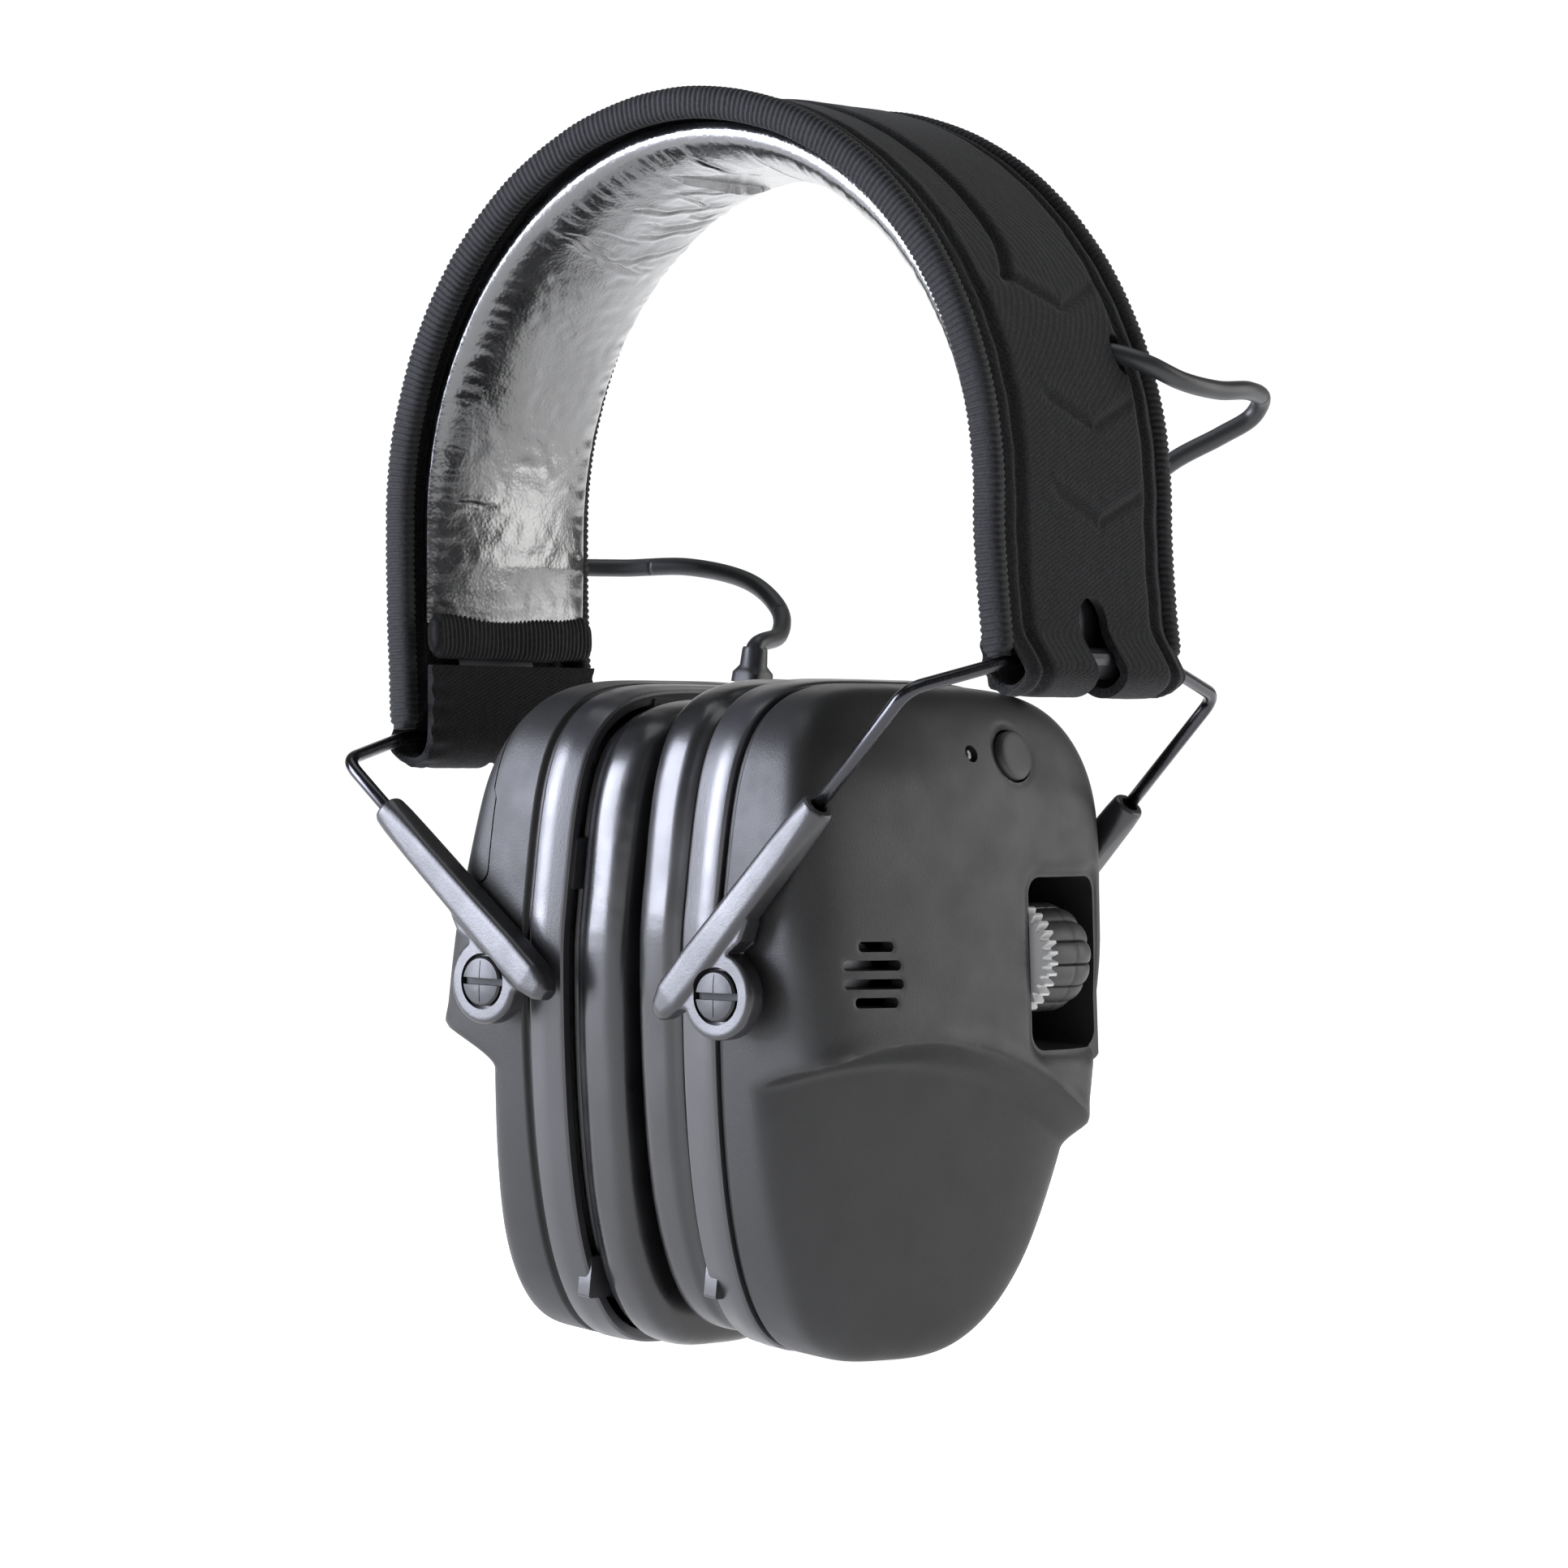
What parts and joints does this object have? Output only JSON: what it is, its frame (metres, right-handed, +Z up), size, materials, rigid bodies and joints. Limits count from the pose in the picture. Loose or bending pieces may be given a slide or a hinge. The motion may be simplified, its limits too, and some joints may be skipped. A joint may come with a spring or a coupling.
{
  "type": "earmuff hearing protector",
  "caption": "Electronic earmuff hearing protector with a padded sprung headband, wire hangers, sliding arms, cushioned cups and a speaker lead.",
  "frame": {"origin": "middle of the level facet under the pad at the crown of the headband", "axes": "+X from the left cup to the right cup, -Y the way the wearer faces, +Z up"},
  "size_m": [0.1361, 0.0906, 0.1983],
  "materials": {
    "knit": "fine knit",
    "spring_steel": "brushed",
    "leather": "glossy, creased",
    "binding": "ribbed tape",
    "lead_rubber": "satin",
    "wire_steel": "black, glossy",
    "arm_plastic": "satin",
    "screw": "satin",
    "shell_plastic": "soft-touch matte",
    "ring_plastic": "satin",
    "cushion_skin": "glossy skin over foam",
    "foam": "open-cell foam",
    "speaker_steel": "pressed",
    "soft_rubber": "matte",
    "lens": "gloss",
    "board": "solder mask",
    "cell": "sleeved",
    "contact": "plated"
  },
  "bodies": {
    "headband": {"band_cover": "knit", "spring_band": "spring_steel", "band_pad": "leather", "front_binding": "binding", "rear_binding": "binding", "right_pad_strip": "binding", "left_pad_strip": "binding", "speaker_lead": "lead_rubber"},
    "right_hanger": {"right_hanger_wire": "wire_steel"},
    "left_hanger": {"left_hanger_wire": "wire_steel"},
    "right_arms": {"right_front_arm": "arm_plastic", "right_rear_arm": "arm_plastic"},
    "left_arms": {"left_front_arm": "arm_plastic", "left_rear_arm": "arm_plastic"},
    "right_cup": {"right_front_pivot": "screw", "right_rear_pivot": "screw", "right_shell": "shell_plastic", "right_ring": "ring_plastic", "right_cushion_plate": "ring_plastic", "right_cushion": "cushion_skin", "right_foam_liner": "foam", "right_speaker": "speaker_steel", "right_microphone": "speaker_steel", "right_strain_relief": "soft_rubber", "volume_control": "speaker_steel", "power_light": "lens", "circuit_board": "board", "jack_socket": "speaker_steel"},
    "left_cup": {"left_front_pivot": "screw", "left_rear_pivot": "screw", "left_shell": "shell_plastic", "left_ring": "ring_plastic", "left_cushion_plate": "ring_plastic", "left_cushion": "cushion_skin", "left_foam_liner": "foam", "left_speaker": "speaker_steel", "left_microphone": "speaker_steel", "left_strain_relief": "soft_rubber", "battery_tray": "ring_plastic", "battery_1": "cell", "battery_2": "cell", "front_contact": "contact", "rear_contact": "contact"},
    "volume_knob": {"volume_wheel": "soft_rubber"},
    "mode_switch": {"mode_button": "soft_rubber"},
    "battery_cover": {"battery_door": "shell_plastic"}
  },
  "joints": [
    {"name": "right_hanger_hinge", "type": "hinge", "parent": "headband", "child": "right_hanger", "pos_m": [0.0632, 0, -0.07815], "axis": [0, -1, 0], "range_deg": [0, 60], "deforming": ["speaker_lead"]},
    {"name": "left_hanger_hinge", "type": "hinge", "parent": "headband", "child": "left_hanger", "pos_m": [-0.06, 0, -0.08865], "axis": [0, 1, 0], "range_deg": [0, 60], "deforming": ["speaker_lead"]},
    {"name": "right_height_slide", "type": "slide", "parent": "right_hanger", "child": "right_arms", "axis": [0.6972, 0, 0.7169], "range_m": [-0.002, 0.012], "deforming": ["speaker_lead", "right_cushion", "left_cushion"]},
    {"name": "left_height_slide", "type": "slide", "parent": "left_hanger", "child": "left_arms", "axis": [-0.7649, 0, 0.6441], "range_m": [-0.005, 0.0055], "deforming": ["speaker_lead", "right_cushion", "left_cushion"]},
    {"name": "right_cup_swivel", "type": "hinge", "parent": "right_arms", "child": "right_cup", "pos_m": [0.02345, 0, -0.12849], "axis": [0, 1, 0], "range_deg": [-5, 5], "deforming": ["speaker_lead", "right_cushion", "left_cushion"]},
    {"name": "left_cup_swivel", "type": "hinge", "parent": "left_arms", "child": "left_cup", "pos_m": [-0.0244, 0, -0.12726], "axis": [0, -1, 0], "range_deg": [-5, 5], "deforming": ["speaker_lead", "right_cushion", "left_cushion"]},
    {"name": "volume_turn", "type": "hinge", "parent": "right_cup", "child": "volume_knob", "pos_m": [0.03528, 0, -0.12386], "axis": [0, 1, 0], "range_deg": [0, 270]},
    {"name": "mode_press", "type": "slide", "parent": "right_cup", "child": "mode_switch", "axis": [-0.9736, 0, -0.2284], "range_m": [0, 0.0008], "stiffness_N_per_m": 600},
    {"name": "battery_door_slide", "type": "slide", "parent": "left_cup", "child": "battery_cover", "axis": [0.1184, 0, 0.993], "range_m": [0, 0.014]}
  ]
}
